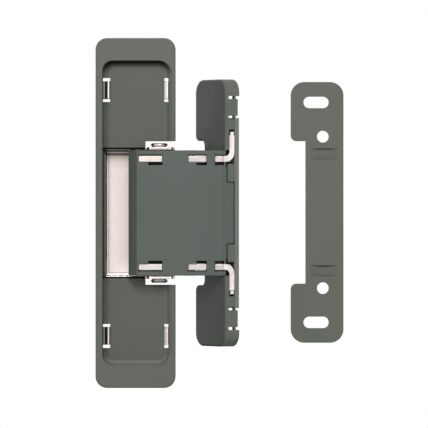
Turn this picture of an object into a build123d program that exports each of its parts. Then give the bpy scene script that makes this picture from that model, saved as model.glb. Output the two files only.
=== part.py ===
from build123d import *
from math import atan2, cos, degrees, radians, sin
import os

# Concealed door hinge with a clip-on frame cover, a folded link arm and a shallow door leaf.
# Millimetres. X runs across the frame leaf towards the door, Z is up along the hinge axis,
# and Y points away from the viewer, so a height V above the frame leaf's face is -Y.
# The origin is the centre of the frame leaf's face. The hinge is modelled fully open.

os.makedirs("parts", exist_ok=True)

# Frame leaf cover, a moulded tray
LEAF_WIDTH = 32.0
LEAF_HEIGHT = 140.0
LEAF_CORNER_R = 4.6
LEAF_DEPTH = 8.0
OVERCUT = 0.4
LEAF_EDGE_R = 0.7
RECESS_WIDTH = 26.6
RECESS_HEIGHT = 122.0
RECESS_DEPTH = 4.0
RECESS_CORNER_R = 4.2
RECESS_COVE_R = 2.2
RECESS_RELIEF = 1.3
TRAY_FLOOR = 1.4
TRAY_WALL = 1.5
TRAY_FLOOR_LIP = 1.2
WINDOW_GAP = 0.85
WINDOW_LEDGE_GAP = 0.1
WINDOW_LEDGE_LEFT = -12.0
LEDGE_TOP = 0.8
LEDGE_THICK = 0.7
LEDGE_WEB = 0.9
NOTCH_GAP = 0.85
NOTCH_WIDTH = 12.1

# Spring clips that hold the cover, seen through four side slots
CLIP_SLOT_END = 15.9
CLIP_SLOT_LENGTH = 9.6
CLIP_SLOT_LEFT = 2.9
CLIP_SLOT_RIGHT = 1.6
CLIP_SLOT_EDGE = 13.1
CLIP_SHEET = 0.6
CLIP_WIDTH = 7.0
CLIP_GAP = 1.2
CLIP_RISE = 0.2

# Steel plate behind the cover
PLATE_WIDTH = 28.4
PLATE_HEIGHT = 136.0
PLATE_CORNER_R = 3.2
PLATE_THICK = 2.0
SCREW_HOLE_R = 2.25
SCREW_SPACING_X = 12.0
SCREW_SPACING_Z = 118.0

# Drawn steel cup
CUP_LEFT = -12.5
CUP_RIGHT = 14.5
CUP_HALF = 25.35
CUP_FLOOR = -36.0
CUP_SHEET = 1.0
CUP_LIP = -7.0
CUP_RIGHT_LIP = -8.2
CUP_EAR_LEFT = 4.4
CUP_EAR_TOP = -2.4
CUP_EAR_R = 3.0
CUP_FLANGE = 7.0
CUP_RIVET_R = 1.5
CUP_RIVET_HEAD_R = 2.6
CUP_RIVET_HEAD = 0.7
CUP_RIVET_ROUND = 0.4
CUP_EAR_ROOT = 3.0
CUP_RIVET_PLACES = (-9.2, 0.2)

# Pivots as (X, V) points, hinge fully open
MAIN_PIVOT = (9.5, -6.0)
LINK_PIVOT = (21.75, -1.15)
REAR_PIVOT = (5.9, -12.6)
GUIDE_POINT = (8.7, -1.4)
PIN_R = 2.0
SMALL_PIN_R = 1.75
RUNNING_GAP = 0.04
PIN_HEAD_R = 3.4
PIN_HEAD = 1.1
WASHER_R = 3.0
WASHER_THICK = 0.5

# Guide slot in the arm plates: its centre line and width
SLOT_START_X = 3.3
SLOT_END_X = 8.95
SLOT_V = -1.565
SLOT_WIDTH = 4.4

# Arm plate outline: discs joined by straight tangents, then the root under the door leaf's edge
ARM_DISCS = (((1.9, -1.3), 2.6), ((9.1, -1.6), 3.6), (LINK_PIVOT, 3.3), ((30.5, -0.6), 2.6))
ARM_ROOT_CORNERS = ((29.5, 1.9), (29.5, -3.0), (33.2, -4.4), (37.2, -3.4), (38.4, -0.6), (35.0, 1.6))

# Layers along the hinge axis, from the middle outwards
REAR_LINK_THICK = 2.4
ARM_PLATE_INNER = 20.4
ARM_PLATE_THICK = 2.4
LAYER_GAP = 0.2
MAIN_LINK_THICK = 1.9
MAIN_LINK_R = 3.1
REAR_LINK_R = 2.7
REAR_LINK_GAP = 0.8
REAR_WEB = 2.4
REAR_WEB_WIDTH = 4.4
REAR_WEB_SHARE = 0.58
BRACKET_SHEET = 2.2
BRACKET_EYE_R = 3.2
BRACKET_GAP = 0.2

# Door leaf, turned about the hinge axis by its opening
OPENING = 120.0
DOOR_CORNER = (35.8, 3.0)
DOOR_WIDTH = 24.0
DOOR_HEIGHT = 107.0
DOOR_DEPTH = 6.6
DOOR_CORNER_R = 5.4
DOOR_NOTCH_HALF = 29.0
DOOR_NOTCH_WIDTH = 7.0
DOOR_NOTCH_R = 2.2
DOOR_SHEET = 1.3
DOOR_EDGE_R = 0.9
EDGE_SLOTS = ((37.6, 38.9), (45.6, 46.8))
EDGE_SLOT_FRONT = 1.7
EDGE_SLOT_BACK = 4.1
EDGE_NICK = 5.0
EDGE_TONGUE_STEP = 0.7
EDGE_OPEN = 1.0
SHALLOW_OPEN = 1.9
DEEP_OPEN = 4.15
LEG_WINDOW_GAP = 0.85
TAB_EXTRA = 1.2
DOOR_PLATE_THICK = 2.0
DOOR_PLATE_HALF = 38.0
DOOR_PLATE_INSET = 0.25

# Angle brackets: a leg in the door leaf and a long arm plate across the cup
LEG_DEPTH = 2.2
LEG_END = 31.0
LEG_TONGUE = 1.5
LEG_WIDTH = 15.2
LEG_RIVET_PLACES = (-4.4, -10.8)
LEG_START = 0.35
BEND_CLEAR = 1.2
BEND_RELIEF = 0.6
TONGUE_STEP = 0.5
ROOT_CLEAR = 1.9
BEND_OUTER_R = 4.0
ROOT_WIDTH = 7.0
LEG_RIVET_R = 1.6
LEG_RIVET_SHIFT = 0.8
LEG_RIVET_HEAD_R = 2.4
LEG_RIVET_HEAD = 0.5

# Arm cover
COVER_HALF = 25.0
COVER_SHEET = 1.4
COVER_LEFT_TIP = (-2.8, -1.6)
COVER_SHOULDER = (0.6, 4.4)
COVER_CROWN = (16.0, 5.9)
COVER_BEND = (32.9, 3.4)
COVER_HEEL = (34.4, 3.3)
COVER_END = (39.3, 0.95)
COVER_WIDE_HALF = 18.4
TAB_LOW = 12.2
TAB_REACH = 5.0
TAB_START_X = 36.5
COVER_TRIM_X = 36.2
WINDOW_LOW = 19.1
WINDOW_HIGH = 23.3
WINDOW_SPANS = ((1.1, 10.8), (21.0, 28.5), (31.7, 36.6))
WINDOW_RECESS_START = (5.2, 24.4, 31.7)
WINDOW_STEP = 0.9
POCKET_DEPTH = 2.8
POCKET_WALL = 0.6
PART_LINE = 0.3
LUG_DROP = 0.3
FIT_GAP = 0.1
UNDER_LEVEL = -20.0
NEAR = 0.01
OVER_LEVEL = 9.0

# Loose mounting plate for the door edge
MOUNT_CENTRE = (72.64, 0.24)
MOUNT_WIDTH = 21.1
MOUNT_HEIGHT = 104.3
MOUNT_THICK = 2.0
MOUNT_CORNER_R = 5.4
MOUNT_NOTCH_WIDTH = 5.9
MOUNT_NOTCH_HALF = 28.5
MOUNT_NOTCH_R = 2.3
MOUNT_SLOT_LENGTH = 10.1
MOUNT_SLOT_WIDTH = 4.6
MOUNT_SLOT_Z = 44.0
MOUNT_SLOT_SHIFT = -0.4
MOUNT_HOLE_R = 2.35
MOUNT_HOLE_Z = 30.3
MOUNT_HOLE_SHIFT = 2.3
BRIDGE_LOW = 21.2
BRIDGE_HIGH = 25.6
BRIDGE_WIDTH = 11.3
BRIDGE_FLAT = 3.9
BRIDGE_SHIFT = 2.8
BRIDGE_RISE = 1.0

TRAY_UNDER = RECESS_DEPTH + TRAY_FLOOR
PLATE_FRONT = -LEAF_DEPTH
PLATE_BACK = PLATE_FRONT - PLATE_THICK
CUP_WALL_OUT = CUP_HALF + CUP_SHEET
NOTCH_HALF = CUP_WALL_OUT + WASHER_THICK + PIN_HEAD + NOTCH_GAP
WINDOW_HALF = CUP_HALF + WINDOW_GAP
WINDOW_LEDGE_HALF = CUP_HALF + WINDOW_LEDGE_GAP
CLIP_SLOT_HIGH = LEAF_HEIGHT / 2 - CLIP_SLOT_END
CLIP_SLOT_LOW = CLIP_SLOT_HIGH - CLIP_SLOT_LENGTH
ARM_PLATE_OUTER = ARM_PLATE_INNER + ARM_PLATE_THICK
MAIN_LINK_INNER = ARM_PLATE_OUTER + LAYER_GAP
MAIN_LINK_OUTER = MAIN_LINK_INNER + MAIN_LINK_THICK
REAR_LINK_OUTER = ARM_PLATE_INNER - REAR_LINK_GAP
REAR_LINK_INNER = REAR_LINK_OUTER - REAR_LINK_THICK
BRACKET_OUTER = REAR_LINK_INNER - BRACKET_GAP
LEG_BACK = LEG_DEPTH + ARM_PLATE_THICK
LEG_RIVET_Z = (ARM_PLATE_OUTER + LEG_END) / 2 + LEG_RIVET_SHIFT
SIDES = {"upper": 1, "lower": -1}


def plan_plane(z):
    """Plane of (X, V) sketches at height z, whose normal points down."""
    return Plane(origin=(0, 0, z), x_dir=(1, 0, 0), z_dir=(0, 0, -1))


def plan_slab(sketch, z_from, z_to):
    """Extrude an (X, V) sketch between two heights."""
    top = max(z_from, z_to)
    return extrude(plan_plane(top) * sketch, amount=abs(z_to - z_from))


def front_slab(sketch, v_back, v_front):
    """Extrude an (X, Z) sketch from one level V to a nearer one."""
    plane = Plane(origin=(0, -v_back, 0), x_dir=(1, 0, 0), z_dir=(0, -1, 0))
    return extrude(plane * sketch, amount=v_front - v_back)


def local_slab(sketch, depth_back, depth_front):
    """Extrude a door leaf sketch, with x along the leaf and depth below its face."""
    return extrude(Plane(origin=(0, 0, -depth_back)) * sketch, amount=depth_back - depth_front)


def box_between(x_range, y_range, z_range):
    """Box from its three ranges."""
    size = [high - low for low, high in (x_range, y_range, z_range)]
    middle = [(high + low) / 2 for low, high in (x_range, y_range, z_range)]
    return Pos(*middle) * Box(*size)


def block(x_range, v_range, z_range):
    """Box from ranges of X, V and Z."""
    return box_between(x_range, (-v_range[1], -v_range[0]), z_range)


def door_place():
    """Location of the door leaf: its near corner, turned by the opening."""
    turn = radians(OPENING)
    along = (-cos(turn), -sin(turn), 0)
    outward = (-sin(turn), cos(turn), 0)
    corner = (DOOR_CORNER[0], -DOOR_CORNER[1], 0)
    return Plane(origin=corner, x_dir=along, z_dir=outward).location


def span(side, low, high):
    """Range of Z on the upper or lower side."""
    return tuple(sorted((side * low, side * high)))


def round_bar(centre, radius, z_from, z_to):
    """Cylinder along Z at an (X, V) point."""
    return plan_slab(Pos(*centre) * Circle(radius), z_from, z_to)


def eye_link(start, end, radius):
    """Outline of a flat link with round ends."""
    return make_hull((Pos(*start) * Circle(radius)).edges() + (Pos(*end) * Circle(radius)).edges())


def offset_point(point, dx, dv):
    """Point moved in the (X, V) plane."""
    return (point[0] + dx, point[1] + dv)


def frame_cover():
    """Moulded tray: a rim with a sunk floor, a window for the cup and four clip slots."""
    body = front_slab(RectangleRounded(LEAF_WIDTH, LEAF_HEIGHT, LEAF_CORNER_R), -LEAF_DEPTH, 0)
    front = body.faces().sort_by(Axis.Y)[0]
    body = fillet(front.edges(), LEAF_EDGE_R)
    inner_width = LEAF_WIDTH - 2 * TRAY_WALL
    inner_height = LEAF_HEIGHT - 2 * TRAY_WALL
    inner_r = LEAF_CORNER_R - TRAY_WALL
    hollow = RectangleRounded(inner_width, inner_height, inner_r)
    body -= front_slab(hollow, -LEAF_DEPTH, -TRAY_FLOOR - TRAY_WALL)
    floor_width = RECESS_WIDTH + 2 * TRAY_FLOOR_LIP
    floor_height = RECESS_HEIGHT + 2 * TRAY_WALL
    under = RectangleRounded(floor_width, floor_height, RECESS_CORNER_R + TRAY_WALL)
    body += front_slab(under, -TRAY_UNDER, -TRAY_FLOOR)
    recess = front_slab(RectangleRounded(RECESS_WIDTH, RECESS_HEIGHT, RECESS_CORNER_R), -RECESS_DEPTH, 1)
    body -= fillet(recess.faces().sort_by(Axis.Y)[-1].edges(), RECESS_COVE_R)
    foot = -RECESS_DEPTH + RECESS_COVE_R - OVERCUT / 2
    low_height = RECESS_HEIGHT - OVERCUT - 2 * RECESS_RELIEF
    low = RectangleRounded(RECESS_WIDTH - OVERCUT, low_height, RECESS_CORNER_R)
    slope = degrees(atan2(RECESS_RELIEF + OVERCUT / 2, -foot))
    base = Plane(origin=(0, -foot, 0), x_dir=(1, 0, 0), z_dir=(0, -1, 0))
    relief = extrude(base * low, amount=OVERCUT - foot, taper=-slope)
    body -= relief & block((0, LEAF_WIDTH), (-LEAF_DEPTH, OVERCUT), (-LEAF_HEIGHT, LEAF_HEIGHT))
    reach = LEAF_DEPTH + 1
    notch_left = LEAF_WIDTH / 2 - NOTCH_WIDTH
    body -= block((-RECESS_WIDTH / 2, notch_left + 1), (-reach, 1), (-WINDOW_HALF, WINDOW_HALF))
    ledge_levels = (-TRAY_UNDER - LEDGE_TOP - LEDGE_THICK, -TRAY_UNDER - LEDGE_TOP)
    web_levels = (ledge_levels[0], -TRAY_UNDER + TRAY_FLOOR / 3)
    for side in SIDES.values():
        x_range = (-RECESS_WIDTH / 2 - LEDGE_WEB, notch_left + LEDGE_WEB)
        body += block(x_range, ledge_levels, span(side, WINDOW_LEDGE_HALF, WINDOW_HALF + LEDGE_WEB))
        body += block(x_range, web_levels, span(side, WINDOW_HALF, WINDOW_HALF + LEDGE_WEB))
    left_web = -RECESS_WIDTH / 2 - LEDGE_WEB
    body += block((left_web, WINDOW_LEDGE_LEFT), ledge_levels, (-WINDOW_HALF, WINDOW_HALF))
    body += block((left_web, -RECESS_WIDTH / 2), web_levels, (-WINDOW_HALF, WINDOW_HALF))
    body -= block((notch_left, LEAF_WIDTH), (-reach, 1), (-NOTCH_HALF, NOTCH_HALF))
    for side in SIDES.values():
        z_range = span(side, CLIP_SLOT_LOW, CLIP_SLOT_HIGH)
        left_slot = (-CLIP_SLOT_EDGE, -CLIP_SLOT_EDGE + CLIP_SLOT_LEFT)
        right_slot = (CLIP_SLOT_EDGE - CLIP_SLOT_RIGHT, CLIP_SLOT_EDGE)
        for slot in (left_slot, right_slot):
            body -= block(slot, (-reach, -LEAF_EDGE_R), z_range)
    return body


def cover_clip(hand, side):
    """U-shaped spring clip with two legs that stand in a slot of the cover."""
    middle = side * (CLIP_SLOT_LOW + CLIP_SLOT_HIGH) / 2
    outer = CLIP_SLOT_EDGE - FIT_GAP
    inner = outer - 2 * CLIP_SHEET - CLIP_GAP
    top = -RECESS_DEPTH + CLIP_RISE
    z_range = (middle - CLIP_WIDTH / 2, middle + CLIP_WIDTH / 2)
    edges = sorted((hand * inner, hand * outer))
    clip = block(edges, (PLATE_FRONT, top), z_range)
    gap_low, gap_high = edges[0] + CLIP_SHEET, edges[1] - CLIP_SHEET
    clip -= block((gap_low, gap_high), (PLATE_FRONT + CLIP_SHEET, top + 1), z_range)
    inner_leg = sorted((hand * inner, hand * (inner + CLIP_SHEET)))
    clip -= block(inner_leg, (-TRAY_UNDER - FIT_GAP if hand > 0 else top, top + 1), z_range)
    return clip


def frame_plate():
    """Steel plate screwed to the door frame, with a window for the cup."""
    outline = RectangleRounded(PLATE_WIDTH, PLATE_HEIGHT, PLATE_CORNER_R)
    plate = front_slab(outline, PLATE_BACK, PLATE_FRONT)
    window = (CUP_LEFT - CUP_SHEET - FIT_GAP, PLATE_WIDTH)
    plate -= block(window, (PLATE_BACK - 1, 0), (-CUP_WALL_OUT - FIT_GAP, CUP_WALL_OUT + FIT_GAP))
    notch_left = LEAF_WIDTH / 2 - NOTCH_WIDTH
    plate -= block((notch_left, PLATE_WIDTH), (PLATE_BACK - 1, 0), (-NOTCH_HALF, NOTCH_HALF))
    for x in (-SCREW_SPACING_X / 2, SCREW_SPACING_X / 2):
        for z in (-SCREW_SPACING_Z / 2, SCREW_SPACING_Z / 2):
            hole = Plane(origin=(x, -PLATE_FRONT, z), z_dir=(0, 1, 0))
            plate -= extrude(hole * Circle(SCREW_HOLE_R), amount=PLATE_THICK)
    for x in CUP_RIVET_PLACES:
        for side in SIDES.values():
            plate -= rivet_shank(x, side)
    for side in SIDES.values():
        z_range = span(side, CLIP_SLOT_LOW - FIT_GAP, CLIP_SLOT_HIGH + FIT_GAP)
        for hand in (-1, 1):
            edge = sorted((hand * (CLIP_SLOT_EDGE - CLIP_SLOT_LEFT), hand * PLATE_WIDTH))
            ends = CLIP_SLOT_HIGH - CLIP_SLOT_LOW - CLIP_WIDTH
            for low, high in ((z_range[0], z_range[0] + ends / 2), (z_range[1] - ends / 2, z_range[1])):
                plate -= block(edge, (PLATE_BACK - 1, 0), (low, high))
    return plate


def rivet_shank(x, side):
    """Shank of one rivet that joins the cup's flange to the plate."""
    z = side * (CUP_WALL_OUT + CUP_FLANGE / 2)
    base = Plane(origin=(x, -PLATE_BACK, z), z_dir=(0, -1, 0))
    return extrude(base * Circle(CUP_RIVET_R), amount=PLATE_THICK + CUP_SHEET)


def cup_rivets():
    """Four rivets with low round heads, as one group."""
    rivets = []
    for x in CUP_RIVET_PLACES:
        for side in SIDES.values():
            z = side * (CUP_WALL_OUT + CUP_FLANGE / 2)
            head = Plane(origin=(x, LEAF_DEPTH - CUP_SHEET, z), z_dir=(0, -1, 0))
            low = extrude(head * Circle(CUP_RIVET_HEAD_R), amount=CUP_RIVET_HEAD)
            low = fillet(low.faces().sort_by(Axis.Y)[0].edges(), CUP_RIVET_ROUND)
            rivets.append(rivet_shank(x, side) + low)
    return Compound(children=rivets)


def frame_cup():
    """Drawn cup with two flanges, a low front lip and ears for the main pins."""
    x_outer = (CUP_LEFT - CUP_SHEET, CUP_RIGHT + CUP_SHEET)
    outer = block(x_outer, (CUP_FLOOR - CUP_SHEET, CUP_LIP), (-CUP_WALL_OUT, CUP_WALL_OUT))
    inner = block((CUP_LEFT, CUP_RIGHT), (CUP_FLOOR, 1), (-CUP_HALF, CUP_HALF))
    outer = fillet(outer.faces().sort_by(Axis.Y)[-1].edges(), 1.5 * CUP_SHEET)
    inner = fillet(inner.faces().sort_by(Axis.Y)[-1].edges(), CUP_SHEET / 2)
    for side in SIDES.values():
        ear_range = span(side, CUP_HALF, CUP_WALL_OUT)
        x_range = (CUP_EAR_LEFT, CUP_RIGHT + CUP_SHEET)
        ear = block(x_range, (CUP_LIP - CUP_EAR_ROOT, CUP_EAR_TOP), ear_range)
        top_edges = ear.edges().filter_by(Axis.Z).group_by(Axis.Y)[0]
        outer += fillet(top_edges, CUP_EAR_R)
        flange_range = span(side, CUP_WALL_OUT - 0.5, CUP_WALL_OUT + CUP_FLANGE)
        flange_right = LEAF_WIDTH / 2 - NOTCH_WIDTH - 0.5
        levels = (PLATE_FRONT, PLATE_FRONT + CUP_SHEET)
        flange = block((CUP_LEFT - CUP_SHEET, flange_right), levels, flange_range)
        outer += flange
    cup = outer - inner
    cup -= block((CUP_RIGHT - 2, CUP_RIGHT + 3), (CUP_RIGHT_LIP, 1), (-CUP_HALF, CUP_HALF))
    for side in SIDES.values():
        cup -= round_bar(MAIN_PIVOT, PIN_R, side * (CUP_HALF - 1), side * (CUP_WALL_OUT + 1))
        for x in CUP_RIVET_PLACES:
            cup -= rivet_shank(x, side)
    return cup


def main_pin(side):
    """Rivet pin through the cup's ear, with a domed head outside."""
    head_base = CUP_WALL_OUT + WASHER_THICK
    shank = round_bar(MAIN_PIVOT, PIN_R, side * MAIN_LINK_INNER, side * (head_base + PIN_HEAD / 2))
    head = round_bar(MAIN_PIVOT, PIN_HEAD_R, side * head_base, side * (head_base + PIN_HEAD))
    outer_face = head.faces().sort_by(Axis.Z)[-1 if side > 0 else 0]
    return shank + fillet(outer_face.edges(), PIN_HEAD * 0.7)


def pin_washer(side):
    """Flat washer under a main pin's head."""
    z_low, z_high = side * CUP_WALL_OUT, side * (CUP_WALL_OUT + WASHER_THICK)
    return round_bar(MAIN_PIVOT, WASHER_R, z_low, z_high) - round_bar(MAIN_PIVOT, PIN_R, z_low, z_high)


def rear_bracket():
    """U-shaped bracket on the cup's right wall that carries the rear pin."""
    reach = CUP_RIGHT - REAR_PIVOT[0]
    base_v = (REAR_PIVOT[1] - BRACKET_EYE_R, REAR_PIVOT[1] + BRACKET_EYE_R)
    bracket = block((CUP_RIGHT - BRACKET_SHEET / 2, CUP_RIGHT), base_v, (-BRACKET_OUTER, BRACKET_OUTER))
    for side in SIDES.values():
        z_range = span(side, BRACKET_OUTER - BRACKET_SHEET, BRACKET_OUTER)
        bracket += plan_slab(Pos(*REAR_PIVOT) * Circle(BRACKET_EYE_R), *z_range)
        bracket += block((REAR_PIVOT[0], REAR_PIVOT[0] + reach), base_v, z_range)
    return bracket - round_bar(REAR_PIVOT, SMALL_PIN_R, -BRACKET_OUTER, BRACKET_OUTER)


def main_link(side):
    """Flat link between the cup's main pin and the arm plate's pin."""
    z_low, z_high = side * MAIN_LINK_INNER, side * MAIN_LINK_OUTER
    link = plan_slab(eye_link(MAIN_PIVOT, LINK_PIVOT, MAIN_LINK_R), z_low, z_high)
    for centre in (MAIN_PIVOT, LINK_PIVOT):
        link -= round_bar(centre, PIN_R + RUNNING_GAP, z_low, z_high)
    return link


def rear_link():
    """Second link: two cheeks joined by a web, turning on the rear pin."""
    outline = eye_link(REAR_PIVOT, GUIDE_POINT, REAR_LINK_R)
    link = plan_slab(outline, REAR_LINK_INNER, REAR_LINK_OUTER)
    link += plan_slab(outline, -REAR_LINK_OUTER, -REAR_LINK_INNER)
    middle = tuple(a + REAR_WEB_SHARE * (b - a) for a, b in zip(REAR_PIVOT, GUIDE_POINT))
    web = Pos(*middle) * RectangleRounded(REAR_WEB_WIDTH, REAR_WEB, REAR_WEB / 3)
    link += plan_slab(web, -REAR_LINK_INNER, REAR_LINK_INNER)
    link -= round_bar(REAR_PIVOT, SMALL_PIN_R + RUNNING_GAP, -REAR_LINK_OUTER, REAR_LINK_OUTER)
    return link - round_bar(GUIDE_POINT, SMALL_PIN_R, -REAR_LINK_OUTER, REAR_LINK_OUTER)


def cover_outer_line():
    """Outer line of the arm cover, from its free end to the door leaf."""
    return [
        Line(COVER_LEFT_TIP, COVER_SHOULDER),
        ThreePointArc(COVER_SHOULDER, COVER_CROWN, COVER_BEND),
        Line(COVER_BEND, COVER_HEEL),
        Line(COVER_HEEL, COVER_END),
    ]


def inner_points():
    """Corners of the arm cover's inner line, one sheet below the outer one."""
    sheet = COVER_SHEET
    return {
        "tip": offset_point(COVER_LEFT_TIP, 1.1 * sheet, -0.2 * sheet),
        "shoulder": offset_point(COVER_SHOULDER, 0.75 * sheet, -0.95 * sheet),
        "crown": offset_point(COVER_CROWN, 0, -sheet),
        "bend": offset_point(COVER_BEND, -0.3 * sheet, -sheet),
        "heel": offset_point(COVER_HEEL, -0.35 * sheet, -sheet),
        "end": offset_point(COVER_END, -0.5 * sheet, -0.87 * sheet),
    }


def cover_profile():
    """Section of the arm cover in the (X, V) plane."""
    p = inner_points()
    lines = cover_outer_line() + [
        Line(COVER_END, p["end"]),
        Line(p["end"], p["heel"]),
        Line(p["heel"], p["bend"]),
        ThreePointArc(p["bend"], p["crown"], p["shoulder"]),
        Line(p["shoulder"], p["tip"]),
        Line(p["tip"], COVER_LEFT_TIP),
    ]
    return make_face(Curve() + lines)


def under_cover(drop):
    """Region of the (X, V) plane below the cover's inner line, for cutting what fits under it."""
    p = {name: offset_point(point, 0, -drop) for name, point in inner_points().items()}
    low = UNDER_LEVEL
    lines = [
        Line(p["tip"], p["shoulder"]),
        ThreePointArc(p["shoulder"], p["crown"], p["bend"]),
        Line(p["bend"], p["heel"]),
        Line(p["heel"], p["end"]),
        Line(p["end"], (p["end"][0], low)),
        Line((p["end"][0], low), (p["tip"][0], low)),
        Line((p["tip"][0], low), p["tip"]),
    ]
    return make_face(Curve() + lines)


def under_outer(drop):
    """Region of the (X, V) plane below the cover's outer line."""
    line = (COVER_LEFT_TIP, COVER_SHOULDER, COVER_CROWN, COVER_BEND, COVER_HEEL, COVER_END)
    points = [offset_point(q, 0, -drop) for q in line]
    low = UNDER_LEVEL
    lines = [
        Line(points[0], points[1]),
        ThreePointArc(points[1], points[2], points[3]),
        Line(points[3], points[4]),
        Line(points[4], points[5]),
        Line(points[5], (points[5][0], low)),
        Line((points[5][0], low), (points[0][0], low)),
        Line((points[0][0], low), points[0]),
    ]
    return make_face(Curve() + lines)


def arm_cover():
    """Broad curved cover clipped over both arm plates."""
    cover = plan_slab(cover_profile(), -COVER_HALF, COVER_HALF)
    crest = (COVER_END[1] - COVER_SHEET, OVER_LEVEL)
    all_levels = (-OVER_LEVEL, OVER_LEVEL)
    past_end = COVER_END[0] + 1
    for side in SIDES.values():
        cover -= block((COVER_TRIM_X, past_end), all_levels, span(side, COVER_WIDE_HALF, COVER_HALF + 1))
        cover -= block((TAB_START_X, past_end), all_levels, span(side, TAB_LOW, COVER_HALF + 1))
        bar = span(side, ARM_PLATE_INNER - FIT_GAP, ARM_PLATE_OUTER + FIT_GAP)
        for (x_low, x_high), recess in zip(WINDOW_SPANS, WINDOW_RECESS_START):
            cover -= block((x_low, x_high), crest, bar)
            step = near_line(x_low, x_high, OVER_LEVEL, WINDOW_STEP)
            cover -= plan_slab(step, *span(side, ARM_PLATE_INNER, WINDOW_HIGH))
            if x_high < COVER_BEND[0]:
                deep = POCKET_DEPTH + POCKET_WALL
                boss = near_line(recess - POCKET_WALL, x_high + POCKET_WALL, 0, deep)
                cover += plan_slab(boss, *span(side, WINDOW_LOW - POCKET_WALL, ARM_PLATE_INNER - FIT_GAP))
            pocket = near_line(recess, min(x_high, COVER_HEEL[0] + 1), OVER_LEVEL, POCKET_DEPTH)
            cover -= plan_slab(pocket, *span(side, WINDOW_LOW, ARM_PLATE_INNER))
    return cover


def near_line(x_low, x_high, above, below):
    """Strip of the (X, V) plane that follows the cover's outer line between two X values."""
    height = above + below + 20
    column = Pos((x_low + x_high) / 2, 0) * Rectangle(x_high - x_low, 2 * height)
    strip = column & under_outer(0)
    if above > 0:
        strip = column & (Pos((x_low + x_high) / 2, height / 2) * Rectangle(x_high - x_low, height))
    return strip - under_outer(below)


def arm_plate_outline():
    """Outline of the arm plate in the (X, V) plane, before its lugs."""
    discs = [(Pos(*centre) * Circle(radius)).edges() for centre, radius in ARM_DISCS]
    tail, neck, shank = [make_hull(first + second) for first, second in zip(discs, discs[1:])]
    root = Polygon(*ARM_ROOT_CORNERS, align=None)
    outline = tail + neck + shank + root
    return outline & under_cover(FIT_GAP)


def arm_lugs():
    """Raised edges of the arm plate that fill the cover's windows."""
    lugs = under_outer(LUG_DROP)
    keep = Sketch()
    for x_low, x_high in WINDOW_SPANS:
        width = x_high - x_low - 2 * FIT_GAP
        keep += Pos((x_low + x_high) / 2, 3.0) * Rectangle(width, 6.8)
    return lugs & keep


def edges_along_x(solid, y, z):
    """Edges along X that lie at a given Y and Z."""
    return [e for e in solid.edges().filter_by(Axis.X)
            if abs(e.center().Y - y) < NEAR and abs(e.center().Z - z) < NEAR]


def angle_bracket(side):
    """Angle bracket: its leg lies in the door leaf, its long plate reaches across the cup."""
    z_in, z_out = ARM_PLATE_INNER, ARM_PLATE_OUTER
    leg = box_between((-LEG_WIDTH, -LEG_START), (z_in, LEG_END), (-LEG_BACK, -LEG_DEPTH))
    root = box_between((-ROOT_WIDTH, -LEG_START), (z_in, z_out), (-LEG_BACK, 0.5))
    levels = (-LEG_BACK + TONGUE_STEP / 2, -LEG_DEPTH - TONGUE_STEP)
    tongue = box_between((-LEG_WIDTH + 2, -LEG_START - FIT_GAP), (LEG_END, LEG_END + LEG_TONGUE), levels)
    relief = box_between((-LEG_WIDTH, -ROOT_WIDTH), (z_in, z_out + BEND_RELIEF), (-LEG_BACK, -LEG_DEPTH))
    solid = leg - relief + root + tongue
    solid = fillet(edges_along_x(solid, z_in, -LEG_BACK), BEND_OUTER_R)
    solid = fillet(edges_along_x(solid, z_out, -LEG_DEPTH), BEND_OUTER_R - ARM_PLATE_THICK)
    for x in LEG_RIVET_PLACES:
        solid -= local_slab(Pos(x, LEG_RIVET_Z) * Circle(LEG_RIVET_R), LEG_BACK, LEG_DEPTH)
    if side < 0:
        solid = mirror(solid, about=Plane.XY.rotated((90, 0, 0)))
    bracket = door_place() * solid
    z_range = span(side, z_in, z_out)
    plate = plan_slab(arm_plate_outline() + arm_lugs(), *z_range)
    plate -= plan_slab(guide_slot(), *z_range)
    plate -= round_bar(LINK_PIVOT, PIN_R, *z_range)
    return bracket + plate


def guide_slot():
    """Long hole in the arm plate in which the rear link's pin slides."""
    length = SLOT_END_X - SLOT_START_X + SLOT_WIDTH
    return Pos((SLOT_START_X + SLOT_END_X) / 2, SLOT_V) * SlotOverall(length, SLOT_WIDTH)


def door_outline(grow, corner_r):
    """C-shaped outline of the door leaf, near edge at x = 0, drawn in by grow all round."""
    width = DOOR_WIDTH - 2 * grow
    height = DOOR_HEIGHT - 2 * grow
    plate = Pos(-DOOR_WIDTH / 2, 0) * RectangleRounded(width, height, corner_r)
    cut_height = 2 * (DOOR_NOTCH_HALF + grow)
    depth = DOOR_NOTCH_WIDTH
    notch = Pos(-DOOR_WIDTH - 5 + grow + depth / 2, 0) * Rectangle(depth + 10, cut_height)
    shape = plate - notch
    inner = [v for v in shape.vertices() if abs(abs(v.Y) - cut_height / 2) < 0.01]
    return fillet(inner, DOOR_NOTCH_R)


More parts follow.
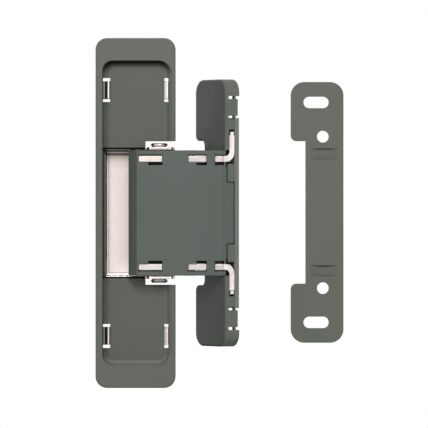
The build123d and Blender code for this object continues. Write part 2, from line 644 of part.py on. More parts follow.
def door_cap():
    """Shallow moulded cap of the door leaf, open at the back, with windows for the brackets."""
    out = DOOR_EDGE_R + 1
    shell = local_slab(door_outline(0, DOOR_CORNER_R), DOOR_DEPTH, 0)
    shell = fillet(shell.faces().sort_by(Axis.Z)[-1].edges(), DOOR_EDGE_R)
    shell -= local_slab(door_outline(DOOR_SHEET, DOOR_CORNER_R - DOOR_SHEET), DOOR_DEPTH, DOOR_SHEET)
    open_x = -DOOR_SHEET - EDGE_OPEN
    shell -= box_between((open_x, out), (-COVER_HALF - FIT_GAP, COVER_HALF + FIT_GAP), (-SHALLOW_OPEN, 1))
    wide = COVER_WIDE_HALF + FIT_GAP
    shell -= box_between((open_x, out), (-wide, wide), (-DEEP_OPEN, 1))
    plate_half = DOOR_PLATE_HALF + FIT_GAP
    shell -= box_between((-DOOR_SHEET - FIT_GAP, out), (-plate_half, plate_half), (-DOOR_DEPTH, -LEG_BACK))
    for side in SIDES.values():
        window = span(side, ARM_PLATE_INNER - LEG_WINDOW_GAP, LEG_END + LEG_TONGUE + LEG_WINDOW_GAP)
        levels = (-LEG_BACK - FIT_GAP, -LEG_DEPTH + 2 * FIT_GAP)
        shell -= box_between((-DOOR_SHEET - FIT_GAP, out), window, levels)
        root = span(side, ARM_PLATE_INNER - PART_LINE, ARM_PLATE_OUTER + BEND_CLEAR)
        shell -= box_between((-ROOT_WIDTH - ROOT_CLEAR, out), root, (-LEG_BACK, 1))
        tab = span(side, TAB_LOW + PART_LINE, COVER_WIDE_HALF + TAB_EXTRA)
        shell += box_between((-TAB_REACH, 0), tab, (-LEG_BACK, FIT_GAP - DOOR_SHEET))
        through = (-DOOR_SHEET - 1, out)
        for edge_slot in EDGE_SLOTS:
            slot = span(side, *edge_slot)
            shell -= box_between(through, slot, (-EDGE_SLOT_BACK, -EDGE_SLOT_FRONT))
            shell -= box_between(through, slot, (-DOOR_DEPTH - 1, -EDGE_NICK))
        tongue = span(side, EDGE_SLOTS[0][1], EDGE_SLOTS[1][0])
        shell -= box_between(through, tongue, (-DOOR_DEPTH - 1, -DOOR_DEPTH + EDGE_TONGUE_STEP))
    cap = door_place() * shell
    grown = offset(cover_profile(), PART_LINE, kind=Kind.INTERSECTION)
    trimmed = grown & Rectangle(2 * (TAB_START_X + PART_LINE), 40)
    cap -= plan_slab(grown, -TAB_LOW - PART_LINE, TAB_LOW + PART_LINE)
    return cap - plan_slab(trimmed, -COVER_HALF - FIT_GAP, COVER_HALF + FIT_GAP)


def door_plate():
    """Back plate of the door leaf, under the brackets."""
    outline = door_outline(DOOR_SHEET + FIT_GAP, DOOR_CORNER_R - DOOR_SHEET)
    outline += Pos(-3, 0) * Rectangle(2 * (3 - DOOR_PLATE_INSET), 2 * DOOR_PLATE_HALF)
    outline &= Pos(-DOOR_WIDTH / 2, 0) * Rectangle(DOOR_WIDTH, 2 * DOOR_PLATE_HALF)
    plate = local_slab(outline, LEG_BACK + DOOR_PLATE_THICK, LEG_BACK)
    for side in SIDES.values():
        for x in LEG_RIVET_PLACES:
            hole = Pos(x, side * LEG_RIVET_Z) * Circle(LEG_RIVET_R)
            plate -= local_slab(hole, LEG_BACK + DOOR_PLATE_THICK, LEG_BACK)
    return door_place() * plate


def leg_rivets():
    """Four rivets that join the brackets' legs to the back plate, as one group."""
    rivets = []
    for side in SIDES.values():
        for x in LEG_RIVET_PLACES:
            place = Pos(x, side * LEG_RIVET_Z)
            shank = local_slab(place * Circle(LEG_RIVET_R), LEG_BACK + DOOR_PLATE_THICK, LEG_DEPTH)
            head = local_slab(place * Circle(LEG_RIVET_HEAD_R), LEG_DEPTH, LEG_DEPTH - LEG_RIVET_HEAD)
            rivets.append(door_place() * (shank + head))
    return Compound(children=rivets)


def link_pin(side):
    """Pin fixed in the arm plate, on which the main link turns."""
    return round_bar(LINK_PIVOT, PIN_R, side * ARM_PLATE_INNER, side * (MAIN_LINK_OUTER + 0.2))


def mounting_plate():
    """C-shaped screw plate for the door edge, with slots, holes and two pressed bridges."""
    plate = RectangleRounded(MOUNT_WIDTH, MOUNT_HEIGHT, MOUNT_CORNER_R)
    notch_x = -MOUNT_WIDTH / 2 + MOUNT_NOTCH_WIDTH / 2 - 5
    plate -= Pos(notch_x, 0) * Rectangle(MOUNT_NOTCH_WIDTH + 10, 2 * MOUNT_NOTCH_HALF)
    corners = [v for v in plate.vertices()
               if abs(abs(v.Y) - MOUNT_NOTCH_HALF) < 0.01 and v.X < -MOUNT_WIDTH / 2 + 0.01]
    plate = fillet(corners, MOUNT_NOTCH_R)
    for side in SIDES.values():
        slot = SlotOverall(MOUNT_SLOT_LENGTH, MOUNT_SLOT_WIDTH)
        plate -= Pos(MOUNT_SLOT_SHIFT, side * MOUNT_SLOT_Z) * slot
        plate -= Pos(MOUNT_HOLE_SHIFT, side * MOUNT_HOLE_Z) * Circle(MOUNT_HOLE_R)
        middle = side * (BRIDGE_LOW + BRIDGE_HIGH) / 2
        plate -= Pos(BRIDGE_SHIFT, middle) * Rectangle(BRIDGE_WIDTH, BRIDGE_HIGH - BRIDGE_LOW)
    solid = front_slab(plate, -MOUNT_THICK, 0)
    half, flat = BRIDGE_WIDTH / 2, BRIDGE_FLAT / 2
    profile = Polygon(
        (-half, -MOUNT_THICK), (-flat, -MOUNT_THICK - BRIDGE_RISE), (flat, -MOUNT_THICK - BRIDGE_RISE),
        (half, -MOUNT_THICK), (half, 0), (flat, -BRIDGE_RISE), (-flat, -BRIDGE_RISE), (-half, 0),
        align=None)
    for side in SIDES.values():
        solid += Pos(BRIDGE_SHIFT, 0, 0) * plan_slab(profile, *span(side, BRIDGE_LOW, BRIDGE_HIGH))
    return Pos(MOUNT_CENTRE[0], 0, MOUNT_CENTRE[1]) * solid


def build():
    """All sub-parts by name."""
    parts = {
        "frame_cover": frame_cover(),
        "frame_plate": frame_plate(),
        "frame_cup": frame_cup(),
        "cup_rivets": cup_rivets(),
        "rear_bracket": rear_bracket(),
        "rear_pin": round_bar(REAR_PIVOT, SMALL_PIN_R, -REAR_LINK_OUTER, REAR_LINK_OUTER),
        "rear_link": rear_link(),
        "guide_pin": round_bar(GUIDE_POINT, SMALL_PIN_R, -ARM_PLATE_OUTER, ARM_PLATE_OUTER),
        "arm_cover": arm_cover(),
        "door_cap": door_cap(),
        "door_plate": door_plate(),
        "leg_rivets": leg_rivets(),
        "mounting_plate": mounting_plate(),
    }
    for name, side in SIDES.items():
        parts[name + "_main_pin"] = main_pin(side)
        parts[name + "_pin_washer"] = pin_washer(side)
        parts[name + "_main_link"] = main_link(side)
        parts[name + "_link_pin"] = link_pin(side)
        parts[name + "_angle_bracket"] = angle_bracket(side)
        parts[name + "_left_clip"] = cover_clip(-1, side)
        parts[name + "_right_clip"] = cover_clip(1, side)
    return parts


for node, shape in build().items():
    export_step(shape, "parts/" + node + ".step")
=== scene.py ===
"""Looks of a concealed door hinge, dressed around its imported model.

Metres, except in names that end in _mm. X runs across the frame leaf towards the door, Z is up along
the hinge axis and Y points away from the viewer. The origin is the centre of the frame leaf's face.
"""

import logging
import math
from dataclasses import dataclass, field
from enum import Enum

import bmesh
import bpy
from mathutils import Euler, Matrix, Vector


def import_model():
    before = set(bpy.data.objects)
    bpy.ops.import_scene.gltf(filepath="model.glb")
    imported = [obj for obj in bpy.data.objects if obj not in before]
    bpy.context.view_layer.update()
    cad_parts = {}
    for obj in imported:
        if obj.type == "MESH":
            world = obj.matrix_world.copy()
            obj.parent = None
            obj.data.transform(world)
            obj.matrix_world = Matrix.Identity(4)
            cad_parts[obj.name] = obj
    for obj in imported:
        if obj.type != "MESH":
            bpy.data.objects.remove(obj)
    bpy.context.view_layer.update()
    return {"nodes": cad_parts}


LOG = logging.getLogger("door_hinge")
MM = 0.001

# The sRGB curve: straight up to the knee, then a power
SRGB_KNEE = 0.04045
SRGB_SLOPE = 12.92
SRGB_OFFSET = 0.055
SRGB_POWER = 2.4

# Layers of noise and how strong each finer one is
CLOUD_LAYERS = {"Detail": 3.0, "Roughness": 0.5}
GRAIN_LAYERS = {"Detail": 2.0, "Roughness": 0.55}
# A mix node that multiplies colours. Its sockets go by number, because its numbers and colours share names
MULTIPLY_COLOURS = {"data_type": "RGBA", "blend_type": "MULTIPLY"}
# Rays for the open sky over a corner, which sets the painted corner shade, and for the rounding of an edge
SKY_SAMPLES = 16
EDGE_SAMPLES = 6

Tree = bpy.types.NodeTree
Socket = bpy.types.NodeSocket
Triple = tuple[float, float, float]
Bands = tuple[tuple[float, float], ...]


class Side(Enum):
    """End of the hinge that a paired piece belongs to."""

    UPPER = "upper"
    LOWER = "lower"


def linear(code: str) -> tuple[float, float, float, float]:
    """Turn an sRGB hex colour to linear.

    Args:
        code: Six hex digits.

    Returns:
        Linear red, green, blue and an alpha of one.
    """
    values = []
    for start in (0, 2, 4):
        share = int(code[start : start + 2], 16) / 255
        curved = ((share + SRGB_OFFSET) / (1 + SRGB_OFFSET)) ** SRGB_POWER
        values.append(share / SRGB_SLOPE if share <= SRGB_KNEE else curved)
    return (values[0], values[1], values[2], 1.0)


def add_node(tree: Tree, kind: str, settings: dict | None = None, **inputs: object) -> bpy.types.Node:
    """Add a shader node with its settings, input values and links.

    Args:
        tree: Tree that gets the node.
        kind: Blender's name of the node type.
        settings: Attributes of the node.
        **inputs: Input socket by its name, with _ for a space, or by in_ and its number, to its constant
            value or to the output that feeds it.

    Returns:
        The new node.
    """
    node = tree.nodes.new(kind)
    for name, value in (settings or {}).items():
        setattr(node, name, value)
    for name, value in inputs.items():
        socket = node.inputs[int(name[3:]) if name.startswith("in_") else name.replace("_", " ")]
        if isinstance(value, Socket):
            tree.links.new(value, socket)
        else:
            socket.default_value = value
    return node


@dataclass(frozen=True)
class Finish:
    """Common values of a surface finish.

    Attributes:
        name: Name of the Blender material.
        colour: Main colour, sRGB hex.
        shade: Second colour that the main one drifts to, sRGB hex.
        metallic: Share of metal in the surface.
        roughness: Middle roughness.
        spread: How far the roughness drifts either way.
        cloud_mm: Size of the patches of colour drift.
        grain_mm: Size of the surface grain.
        grain_depth_mm: Height of the surface grain.
        edge_mm: Radius that light sees at sharp edges.
        corner_shade_mm: How far from a wall the painted corner shade reaches.
        corner_shade: How dark the painted shade in a deep corner gets, from zero to one.
        dark_at: Share of open sky in a corner at which the painted shade is full.
        clear_at: Share of open sky from which no shade is painted.
        shade_lean: Way to the wall that shelters a corner most; the painted shade is darkest under it.
        sheen: Strength of the surface reflection on a coat.
        light_way: Way from which light is painted on; faces turned to it are painted paler.
    """

    name: str
    colour: str
    shade: str
    metallic: float
    roughness: float
    spread: float
    cloud_mm: float
    grain_mm: float
    grain_depth_mm: float
    edge_mm: float
    corner_shade_mm: float = 2.0
    corner_shade: float = 0.6
    dark_at: float = 0.2
    clear_at: float = 0.92
    shade_lean: Triple = (0.0, 0.0, 0.0)
    sheen: float = 0.5
    light_way: Triple = (0.0, 0.0, 0.0)

    def grain(self, tree: Tree, place: Socket) -> Socket:
        """Make the height pattern of the surface grain.

        Args:
            tree: Tree of the material.
            place: Output with the point in metres.

        Returns:
            Output with the height, from zero to one.
        """
        return add_node(
            tree, "ShaderNodeTexNoise", Vector=place, Scale=1 / (self.grain_mm * MM), **GRAIN_LAYERS,
        ).outputs["Fac"]

    def turned_to_light(self, tree: Tree) -> Socket:
        """Find how far a face is turned to the way of the painted light.

        Args:
            tree: Tree of the material.

        Returns:
            Output with the length of the painted light's way along the face's normal.
        """
        normal = add_node(tree, "ShaderNodeTexCoord").outputs["Normal"]
        return add_node(
            tree, "ShaderNodeVectorMath", {"operation": "DOT_PRODUCT"}, in_0=normal, in_1=self.light_way,
        ).outputs["Value"]

    def coat(self, tree: Tree, place: Socket) -> Socket:
        """Paint light on faces turned to the painted light's way, the same at every place."""
        # Painted light: one plus the turn of the face to the painted light's way
        return add_node(tree, "ShaderNodeMath", {"operation": "ADD"}, in_0=self.turned_to_light(tree), in_1=1.0).outputs[0]

    def painted_shade(self, tree: Tree, place: Socket) -> Socket:
        """Paint shade into corners, more on their sheltered side, and multiply in the painted light of coat.

        Args:
            tree: Tree of the material.
            place: Output with the point in metres.

        Returns:
            Output with the factor for the colour.
        """
        normal = add_node(tree, "ShaderNodeNewGeometry").outputs["Normal"]
        leaning = add_node(tree, "ShaderNodeVectorMath", {"operation": "ADD"}, in_0=normal, in_1=self.shade_lean)
        way = add_node(tree, "ShaderNodeVectorMath", {"operation": "NORMALIZE"}, in_0=leaning.outputs[0])
        # Painted shade: the share of open sky around a point darkens its colour in corners
        sky = add_node(
            tree, "ShaderNodeAmbientOcclusion", {"samples": SKY_SAMPLES},
            Distance=self.corner_shade_mm * MM, Normal=way.outputs[0],
        )
        corners = add_node(
            tree, "ShaderNodeMapRange", Value=sky.outputs["AO"],
            From_Min=self.dark_at, From_Max=self.clear_at, To_Min=1 - self.corner_shade, To_Max=1.0,
        )
        return add_node(
            tree, "ShaderNodeMath", {"operation": "MULTIPLY"},
            in_0=corners.outputs["Result"], in_1=self.coat(tree, place),
        ).outputs[0]

    def make(self) -> bpy.types.Material:
        """Build the material.

        Returns:
            The material, ready for a slot.
        """
        material = bpy.data.materials.new(self.name)
        material.use_nodes = True
        tree = material.node_tree
        tree.nodes.clear()
        place = add_node(tree, "ShaderNodeTexCoord").outputs["Object"]
        cloud = add_node(
            tree, "ShaderNodeTexNoise", Vector=place, Scale=1 / (self.cloud_mm * MM), **CLOUD_LAYERS,
        ).outputs["Fac"]
        tint = add_node(
            tree, "ShaderNodeMix", {"data_type": "RGBA"},
            in_0=cloud, in_6=linear(self.colour), in_7=linear(self.shade),
        )
        shaded = add_node(
            tree, "ShaderNodeMix", MULTIPLY_COLOURS,
            in_0=1.0, in_6=tint.outputs[2], in_7=self.painted_shade(tree, place),
        )
        rough = add_node(
            tree, "ShaderNodeMapRange", Value=cloud,
            To_Min=self.roughness - self.spread, To_Max=self.roughness + self.spread,
        )
        edge = add_node(tree, "ShaderNodeBevel", {"samples": EDGE_SAMPLES}, Radius=self.edge_mm * MM)
        bump = add_node(
            tree, "ShaderNodeBump", Strength=1.0, Distance=self.grain_depth_mm * MM,
            Height=self.grain(tree, place), Normal=edge.outputs["Normal"],
        )
        surface = add_node(
            tree, "ShaderNodeBsdfPrincipled", Metallic=self.metallic, Specular_IOR_Level=self.sheen,
            Base_Color=shaded.outputs[2], Roughness=rough.outputs["Result"], Normal=bump.outputs["Normal"],
        )
        add_node(tree, "ShaderNodeOutputMaterial", Surface=surface.outputs["BSDF"])
        return material


@dataclass(frozen=True)
class DrawnFinish(Finish):
    """Finish whose grain is stretched along one axis, as rolling and drawing leave it.

    Attributes:
        stretch: Scale of the grain along X, Y and Z.
    """

    stretch: Triple = (1.0, 1.0, 0.06)

    def grain(self, tree: Tree, place: Socket) -> Socket:
        """Height of the long fine lines at a point, from zero to one."""
        drawn = add_node(tree, "ShaderNodeMapping", Scale=self.stretch, Vector=place)
        return super().grain(tree, drawn.outputs["Vector"])


@dataclass(frozen=True)
class CupFinish(DrawnFinish):
    """Plate on the drawn cup, with a painted highlight ring and a painted shadow line round its floor.

    Attributes:
        left_mm: X of the cup's left wall.
        half_mm: Half the height of the cup's inside.
        floor_mm: Depth of the middle of the floor's sheet; its back stays plain.
        lip_mm: Depth from which the window shades the upper end; the edge before it stays plain.
        painted_bands: Distance from the left and lower wall in millimetres, below zero outside it, and the painted
            brightness there: a highlight ring, a shadow line, then light fading away.
        top_bands: The same for the upper wall, which lies in the shadow of the window.
    """

    left_mm: float = -12.5
    half_mm: float = 25.35
    floor_mm: float = 36.5
    lip_mm: float = 7.8
    painted_bands: Bands = ((-0.5, 1.0), (0.95, 1.0), (1.05, 0.45), (1.2, 0.5), (1.4, 0.94), (3.0, 0.88), (8.0, 0.75))
    top_bands: Bands = (
        (-0.8, 1.0), (-0.7, 0.0), (-0.1, 0.02), (0.3, 0.12), (0.7, 0.4), (1.1, 0.18), (1.5, 0.05),
        (1.9, 0.2), (2.3, 0.52), (3.1, 0.6), (3.6, 0.74), (5.0, 0.9), (8.0, 1.0),
    )

    @staticmethod
    def band(tree: Tree, within: Socket, painted_bands: Bands) -> Socket:
        """Read the brightness at a distance from a wall.

        Args:
            tree: Tree of the material.
            within: Output with the distance in metres.
            painted_bands: Distances in millimetres and the brightness at each.

        Returns:
            Output with the brightness.
        """
        first, last = painted_bands[0][0], painted_bands[-1][0]
        share = add_node(tree, "ShaderNodeMapRange", Value=within, From_Min=first * MM, From_Max=last * MM)
        ramp = add_node(tree, "ShaderNodeValToRGB", Fac=share.outputs["Result"])
        steps = ramp.color_ramp.elements
        for number, (distance, bright) in enumerate(painted_bands):
            if 0 < number < len(painted_bands) - 1:
                steps.new((distance - first) / (last - first))
            steps[number].color = (bright, bright, bright, 1.0)
        return ramp.outputs["Color"]

    def painted_shade(self, tree: Tree, place: Socket) -> Socket:
        """Add the painted bands along the border to the painted corner shade.

        Args:
            tree: Tree of the material.
            place: Output with the point in metres.

        Returns:
            Output with the factor for the colour.
        """
        point = add_node(tree, "ShaderNodeSeparateXYZ", Vector=place).outputs
        half = self.half_mm * MM
        from_left, from_low, from_top, behind, before = (
            add_node(tree, "ShaderNodeMath", {"operation": operation}, in_0=first, in_1=second).outputs[0]
            for operation, first, second in (
                ("SUBTRACT", point["X"], self.left_mm * MM),
                ("ADD", point["Z"], half),
                ("SUBTRACT", half, point["Z"]),
                ("GREATER_THAN", point["Y"], self.floor_mm * MM),
                ("LESS_THAN", point["Y"], self.lip_mm * MM),
            )
        )
        nearest = add_node(tree, "ShaderNodeMath", {"operation": "MINIMUM"}, in_0=from_left, in_1=from_low)
        # A point behind the floor's sheet or before the lip is moved a metre, out of all the bands
        within, deep = (
            add_node(tree, "ShaderNodeMath", {"operation": "SUBTRACT"}, in_0=distance, in_1=behind).outputs[0]
            for distance in (nearest.outputs[0], from_top)
        )
        below = add_node(tree, "ShaderNodeMath", {"operation": "ADD"}, in_0=deep, in_1=before).outputs[0]
        # Painted highlight and shadow bands along the cup's walls
        border = add_node(
            tree, "ShaderNodeMix", MULTIPLY_COLOURS, in_0=1.0,
            in_6=self.band(tree, within, self.painted_bands), in_7=self.band(tree, below, self.top_bands),
        )
        return add_node(
            tree, "ShaderNodeMix", MULTIPLY_COLOURS,
            in_0=1.0, in_6=border.outputs[2], in_7=super().painted_shade(tree, place),
        ).outputs[2]


@dataclass(frozen=True)
class TrayFinish(Finish):
    """Powder coat with painted shadow deep inside the tray, painted light beside the cup's left wall, and faces
    painted paler by their turn.

    Attributes:
        shadow_start_mm: Depth at which the painted shadow starts.
        painted_shadow_mm: Depth from which the painted shadow is full.
        painted_shadow: Brightness of the full painted shadow, as a share of the coat's.
        lit_left_mm: X up to which the cup's bright left wall throws light on the ledge.
        lit_half_mm: Half the height over which it does.
        lit: How much brighter the painted shadow is there.
        painted_light_max: Brightness of the palest painted light, on faces turned most to its way.
        inside_mm: Half the width and height of the tray's inside.
    """

    shadow_start_mm: float = 3.8
    painted_shadow_mm: float = 5.2
    painted_shadow: float = 0.08
    lit_left_mm: float = -11.9
    lit_half_mm: float = 25.3
    lit: float = 5.5
    painted_light_max: float = 1.35
    inside_mm: tuple[float, float] = (14.5, 68.4)

    def coat(self, tree: Tree, place: Socket) -> Socket:
        """Keep the painted light and the painted shadow to the tray's inside; beside the cup the shadow is painted
        lighter.

        Args:
            tree: Tree of the material.
            place: Output with the point in metres.

        Returns:
            Output with the factor for the colour.
        """
        point = add_node(tree, "ShaderNodeSeparateXYZ", Vector=place).outputs
        across, along = (
            add_node(tree, "ShaderNodeMath", {"operation": "ABSOLUTE"}, in_0=point[axis]).outputs[0] for axis in "XZ"
        )
        in_width, in_height, left, level = (
            add_node(tree, "ShaderNodeMath", {"operation": "LESS_THAN"}, in_0=value, in_1=end_mm * MM).outputs[0]
            for value, end_mm in (
                (across, self.inside_mm[0]), (along, self.inside_mm[1]),
                (point["X"], self.lit_left_mm), (along, self.lit_half_mm),
            )
        )
        inside, beside = (
            add_node(tree, "ShaderNodeMath", {"operation": "MULTIPLY"}, in_0=one, in_1=other).outputs[0]
            for one, other in ((in_width, in_height), (left, level))
        )
        # Painted shadow: the colour darkens with depth into the tray, less where light is painted beside the cup
        deepest = add_node(
            tree, "ShaderNodeMath", {"operation": "MULTIPLY_ADD"}, in_0=beside, in_1=self.lit, in_2=self.painted_shadow - 1,
        )
        change = add_node(
            tree, "ShaderNodeMapRange", Value=point["Y"], From_Min=self.shadow_start_mm * MM,
            From_Max=self.painted_shadow_mm * MM, To_Min=0.0, To_Max=deepest.outputs[0],
        )
        shadowed = add_node(
            tree, "ShaderNodeMath", {"operation": "MULTIPLY_ADD"},
            in_0=inside, in_1=change.outputs["Result"], in_2=1.0,
        )
        # Painted light: faces get paler by how far they turn to its way
        turned = add_node(
            tree, "ShaderNodeMath", {"operation": "MULTIPLY"}, in_0=self.turned_to_light(tree), in_1=inside,
        )
        paler = add_node(
            tree, "ShaderNodeMapRange", Value=turned.outputs[0], From_Min=self.painted_shadow - 1,
            From_Max=self.painted_light_max - 1, To_Min=self.painted_shadow, To_Max=self.painted_light_max,
        )
        return add_node(
            tree, "ShaderNodeMath", {"operation": "MULTIPLY"},
            in_0=paler.outputs["Result"], in_1=shadowed.outputs[0],
        ).outputs[0]


# Painted corner shade is darkest under a wall that stands to a corner's left or above it
SHADE_LEAN = (-0.35, 0.0, 0.45)

# Fine matt powder coat: soft broad highlight, faint orange peel, and painted shade in corners
COAT = {
    "metallic": 0.0, "roughness": 0.5, "spread": 0.05, "cloud_mm": 14.0, "grain_mm": 0.35, "grain_depth_mm": 0.006,
    "edge_mm": 0.35, "corner_shade_mm": 3.0, "sheen": 0.2,
}
# On the door leaf: dark green-grey, with painted light that makes faces turned towards +X paler
POWDER_COAT = Finish(
    name="matt_powder_coat", colour="6d736b", shade="686e66", corner_shade=0.97, dark_at=0.4, clear_at=0.86,
    light_way=(0.5, 0.0, 0.0), **COAT,
)
# On the frame leaf's moulded tray: a little paler and more neutral; painted light makes faces turned up or towards
# -X paler
TRAY_COAT = TrayFinish(
    name="tray_powder_coat", colour="797c74", shade="74776f", corner_shade=0.97, dark_at=0.5, clear_at=0.92, shade_lean=SHADE_LEAN,
    light_way=(-0.34, 0.0, 1.45), **COAT,
)
# On the arm cover, from another batch: a little greener
COVER_COAT = Finish(
    name="arm_powder_coat", colour="6f7670", shade="6a706a", corner_shade=0.98, dark_at=0.6, clear_at=0.95, **COAT,
)
# The same coat on flat pressed steel, a little warmer and smoother
PLATE_COAT = Finish(
    name="coated_pressed_steel", colour="74786e", shade="6e7269", metallic=0.0, roughness=0.48, spread=0.05,
    cloud_mm=18.0, grain_mm=0.3, grain_depth_mm=0.004, edge_mm=0.2, corner_shade_mm=1.5, corner_shade=0.5, sheen=0.25,
)
# Door leaf's back plate, seen at its edge: a lighter, flat grey
BACK_PLATE = Finish(
    name="passivated_back_plate", colour="8a8a84", shade="82827c", metallic=0.0, roughness=0.45, spread=0.05,
    cloud_mm=10.0, grain_mm=0.3, grain_depth_mm=0.004, edge_mm=0.3, corner_shade_mm=1.5, corner_shade=0.7,
)

# Nickel plate on pressed steel: warm white, long rolling lines drawn coarse enough to show
PLATE = {
    "metallic": 1.0, "cloud_mm": 9.0, "grain_mm": 0.25, "grain_depth_mm": 0.004, "edge_mm": 0.3, "corner_shade_mm": 1.2,
}
NICKEL = DrawnFinish(
    name="satin_nickel_plate", colour="e8ddd8", shade="dbd0cb", roughness=0.34, spread=0.06, corner_shade=0.7, **PLATE,
)
# On the deep-drawn cup, polished by the die: brighter, with little painted corner shade
CUP_NICKEL = CupFinish(
    name="drawn_nickel_plate", colour="f6eae4", shade="efe3dc", roughness=0.14, spread=0.02, corner_shade=0.1, **PLATE,
)
# On the thick arm strips: near white, with small grey stains and strong painted shade in their corners
BRIGHT_NICKEL = DrawnFinish(
    name="bright_nickel_plate", colour="e8e2de", shade="b0a69f", metallic=1.0, roughness=0.28, spread=0.05,
    cloud_mm=2.5, grain_mm=0.2, grain_depth_mm=0.003, edge_mm=0.3, corner_shade_mm=1.6, corner_shade=0.9, dark_at=0.45,
    clear_at=0.8, shade_lean=SHADE_LEAN,
)

# Plain steel under a thin conversion layer or plate, which doesn't hide the rolling lines
SHEET = {
    "metallic": 1.0, "spread": 0.08, "cloud_mm": 6.0, "grain_mm": 0.3, "grain_depth_mm": 0.005, "edge_mm": 0.2,
}
# Black phosphate on the hidden links: dark, so that gaps beside the arm read as shadow
PHOSPHATE = DrawnFinish(name="phosphated_steel", colour="201f1e", shade="191817", roughness=0.5, **SHEET)
# Zinc plate: cooler and duller than nickel
ZINC = DrawnFinish(name="zinc_plated_steel", colour="a3a3a3", shade="929496", roughness=0.42, **SHEET)

# Turned steel pins: fine rings round the axis, which runs along Z
TURNED = DrawnFinish(
    name="turned_steel_pin", colour="b8b0aa", shade="9a928c", metallic=1.0, roughness=0.26, spread=0.06,
    cloud_mm=4.0, grain_mm=0.2, grain_depth_mm=0.004, edge_mm=0.25, corner_shade_mm=1.0, corner_shade=0.6,
    stretch=(0.08, 0.08, 1.0),
)

# Cold-rolled spring steel strip: pale and even
STRIP = {
    "metallic": 1.0, "roughness": 0.36, "spread": 0.05, "cloud_mm": 5.0, "grain_mm": 0.2, "grain_depth_mm": 0.003,
    "edge_mm": 0.15,
}
# Lit and shaded copies of one spring strip: the right clips are painted paler with little painted shade; the left
# ones get strong painted shade down inside their bend
LIT_SPRING = DrawnFinish(
    name="lit_spring_strip", colour="f2e9e3", shade="e6dcd5", corner_shade_mm=0.5, corner_shade=0.2, **STRIP,
)
SHADED_SPRING = DrawnFinish(
    name="shaded_spring_strip", colour="eadfd8", shade="d9cec6", corner_shade_mm=3.0, corner_shade=0.97, dark_at=0.5,
    clear_at=0.95, **STRIP,
)


def on_both_sides(finishes: dict[str, Finish]) -> dict[str, Finish]:
    """Give the upper and the lower piece of each pair the same finish."""
    return {f"{side.value}_{name}": finish for side in Side for name, finish in finishes.items()}


@dataclass
class Assembly:
    """Group of CAD nodes that share a body, and how each is dressed.

    Attributes:
        body: Body that the nodes ride on.
        finishes: Finish of each node by its name.
    """

    body: str
    finishes: dict[str, Finish]

    def dress(self, nodes: dict[str, bpy.types.Object], made: dict[str, bpy.types.Material]) -> None:
        """Give each node its material.

        Args:
            nodes: CAD objects by node name.
            made: Materials made so far, by name.
        """
        for name, finish in self.finishes.items():
            if finish.name not in made:
                made[finish.name] = finish.make()
            obj = nodes[name]
            obj.data.materials.clear()
            obj.data.materials.append(made[finish.name])
            LOG.info("%s on %s: %s", name, self.body, finish.name)


@dataclass
class FrameLeaf(Assembly):
    """Frame leaf: tray cover, steel plate, cup, clips, pins and the loose mounting plate."""

    body: str = "frame"
    finishes: dict[str, Finish] = field(default_factory=lambda: {
        "frame_cover": TRAY_COAT,
        "frame_plate": ZINC,
        "frame_cup": CUP_NICKEL,
        "cup_rivets": NICKEL,
        "rear_bracket": PHOSPHATE,
        "rear_pin": PHOSPHATE,
        "mounting_plate": PLATE_COAT,
        **on_both_sides({
            "main_pin": TURNED, "pin_washer": NICKEL, "left_clip": SHADED_SPRING, "right_clip": LIT_SPRING,
        }),
    })


@dataclass
class FoldingLinks(Assembly):
    """The two main links beside the arm plates."""

    body: str = "main_links"
    finishes: dict[str, Finish] = field(default_factory=lambda: on_both_sides({"main_link": PHOSPHATE}))


@dataclass
class RearLink(Assembly):
    """The rear link and the pin that slides in the arm plates."""

    body: str = "rear_links"
    finishes: dict[str, Finish] = field(default_factory=lambda: {"rear_link": PHOSPHATE, "guide_pin": PHOSPHATE})


@dataclass
class DoorArm(Assembly):
    """Arm cover, angle brackets and door leaf."""

    body: str = "door_arm"
    finishes: dict[str, Finish] = field(default_factory=lambda: {
        "arm_cover": COVER_COAT,
        "door_cap": POWDER_COAT,
        "door_plate": BACK_PLATE,
        "leg_rivets": NICKEL,
        **on_both_sides({"angle_bracket": BRIGHT_NICKEL, "link_pin": TURNED}),
    })


@dataclass(frozen=True)
class Lamp:
    """Square soft lamp.

    Attributes:
        name: Name of the lamp.
        place: Its place.
        size: Its side length.
        power: Its power in watts.
    """

    name: str
    place: Triple
    size: float
    power: float

    def add(self, target: Triple) -> None:
        """Put the lamp in the scene.

        Args:
            target: Point that it looks at.
        """
        light = bpy.data.lights.new(self.name, "AREA")
        light.size = self.size
        light.energy = self.power
        holder = bpy.data.objects.new(self.name, light)
        holder.location = self.place
        aim = Vector(target) - holder.location
        holder.rotation_euler = aim.to_track_quat("-Z", "Y").to_euler()
        bpy.context.scene.collection.objects.link(holder)


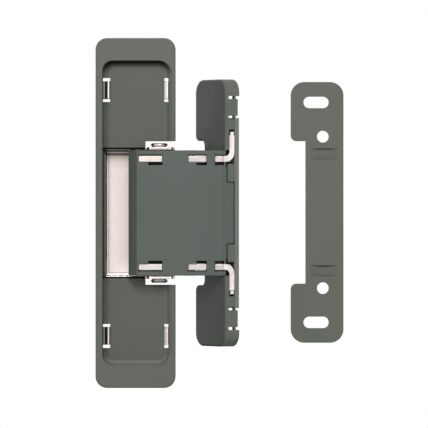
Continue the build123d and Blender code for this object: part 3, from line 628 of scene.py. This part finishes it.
@dataclass
class Studio:
    """Camera, soft lamps, white surroundings and floor.

    Attributes:
        distance: From the leaf's face to the camera.
        centre: Point of the leaf's plane in the middle of the picture, X and Z.
        view_width: Width of the leaf's plane that the picture shows.
        sensor_mm: Width of the camera's sensor.
        far: How far the camera sees.
        lamps: The lamps, a key from above and a wide fill from the left.
        target: Point that the lamps look at.
        ambient: Strength of the surroundings on matt surfaces.
        front_card: Strength of the pale card round the camera, which flat metal mirrors.
        side_glow: Strength of the white walls at the sides.
        side_card: Strength of the grey card behind the hinge, which metal turned away mirrors.
        glow_span: Where the side walls start and end, as the Y of the way to them.
        brightest: Upper end of the curve that holds the strengths.
        floor_place: Centre of the floor.
        floor_half: Half its side length.
        floor_colour: Its colour, sRGB hex.
        floor_roughness: Its roughness.
    """

    distance: float = 2.3
    centre: tuple[float, float] = (0.0314, -0.0004)
    view_width: float = 0.1712
    sensor_mm: float = 36.0
    far: float = 20.0
    lamps: tuple[Lamp, ...] = (
        Lamp("key", place=(0.08, -0.75, 0.46), size=0.3, power=3.35),
        Lamp("fill", place=(-0.65, -1.7, 0.55), size=0.8, power=3.6),
    )
    target: Triple = (0.03, 0.0, 0.0)
    ambient: float = 0.1
    front_card: float = 1.13
    side_glow: float = 1.75
    side_card: float = 0.25
    glow_span: tuple[float, float] = (-0.3, 0.65)
    brightest: float = 2.0
    floor_place: Triple = (0.03, -0.2, -0.1)
    floor_half: float = 0.5
    floor_colour: str = "f2f2f0"
    floor_roughness: float = 0.8

    def camera(self) -> None:
        """Place a long lens square to the leaf."""
        lens = bpy.data.cameras.new("camera")
        lens.sensor_width = self.sensor_mm
        lens.lens = lens.sensor_width * self.distance / self.view_width
        lens.clip_end = self.far
        holder = bpy.data.objects.new("camera", lens)
        holder.location = (self.centre[0], -self.distance, self.centre[1])
        holder.rotation_euler = Euler((math.pi / 2, 0.0, 0.0))
        bpy.context.scene.collection.objects.link(holder)
        bpy.context.scene.camera = holder

    def mirrored(self, tree: Tree) -> Socket:
        """Strength of what metal mirrors, by how far front or back it lies.

        Args:
            tree: Tree of the world.

        Returns:
            Output with the strength.
        """
        toward = add_node(tree, "ShaderNodeTexCoord").outputs["Generated"]
        front = add_node(tree, "ShaderNodeSeparateXYZ", Vector=toward)
        curve = add_node(tree, "ShaderNodeFloatCurve", Value=front.outputs["Y"])
        curve.mapping.clip_min_x = -1.0
        curve.mapping.clip_max_y = self.brightest
        card = curve.mapping.curves[0]
        card.points[0].location = (-1.0, self.front_card)
        card.points[1].location = (1.0, self.side_card)
        for way in self.glow_span:
            card.points.new(way, self.side_glow)
        for point in card.points:
            point.handle_type = "VECTOR"
        curve.mapping.update()
        return curve.outputs["Value"]

    def surroundings(self) -> None:
        """White to the camera, cards and walls in mirrored light, and dim on matt surfaces."""
        world = bpy.data.worlds.new("studio")
        bpy.context.scene.world = world
        world.use_nodes = True
        tree = world.node_tree
        tree.nodes.clear()
        path = add_node(tree, "ShaderNodeLightPath").outputs
        clear = add_node(
            tree, "ShaderNodeMath", {"operation": "MAXIMUM"},
            in_0=path["Is Camera Ray"], in_1=path["Is Transmission Ray"],
        )
        matt_or_mirrored = add_node(
            tree, "ShaderNodeMix", in_0=path["Is Glossy Ray"], in_2=self.ambient, in_3=self.mirrored(tree),
        )
        strength = add_node(
            tree, "ShaderNodeMix", in_0=clear.outputs[0], in_2=matt_or_mirrored.outputs[0], in_3=1.0,
        )
        back = add_node(
            tree, "ShaderNodeBackground", Color=(1.0, 1.0, 1.0, 1.0), Strength=strength.outputs[0],
        )
        add_node(tree, "ShaderNodeOutputWorld", Surface=back.outputs["Background"])

    def floor(self) -> None:
        """Pale floor just below the picture."""
        mesh = bpy.data.meshes.new("floor")
        shape = bmesh.new()
        bmesh.ops.create_grid(shape, x_segments=1, y_segments=1, size=self.floor_half)
        bmesh.ops.translate(shape, verts=shape.verts, vec=self.floor_place)
        shape.to_mesh(mesh)
        shape.free()
        plane = bpy.data.objects.new("floor", mesh)
        bpy.context.scene.collection.objects.link(plane)
        material = bpy.data.materials.new("pale_floor")
        material.use_nodes = True
        surface = material.node_tree.nodes["Principled BSDF"]
        surface.inputs["Base Color"].default_value = linear(self.floor_colour)
        surface.inputs["Roughness"].default_value = self.floor_roughness
        mesh.materials.append(material)

    def build(self) -> None:
        """Build the whole studio."""
        self.camera()
        for lamp in self.lamps:
            lamp.add(self.target)
        self.surroundings()
        self.floor()
        bpy.context.scene.view_settings.view_transform = "Standard"


def main() -> None:
    """Load the frame, dress each assembly and light it."""
    logging.basicConfig(level=logging.INFO, format="%(name)s: %(message)s")
    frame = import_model()
    made: dict[str, bpy.types.Material] = {}
    for assembly in (FrameLeaf(), FoldingLinks(), RearLink(), DoorArm()):
        assembly.dress(frame["nodes"], made)
    Studio().build()
    bpy.context.view_layer.update()


if __name__ == "__main__":
    main()
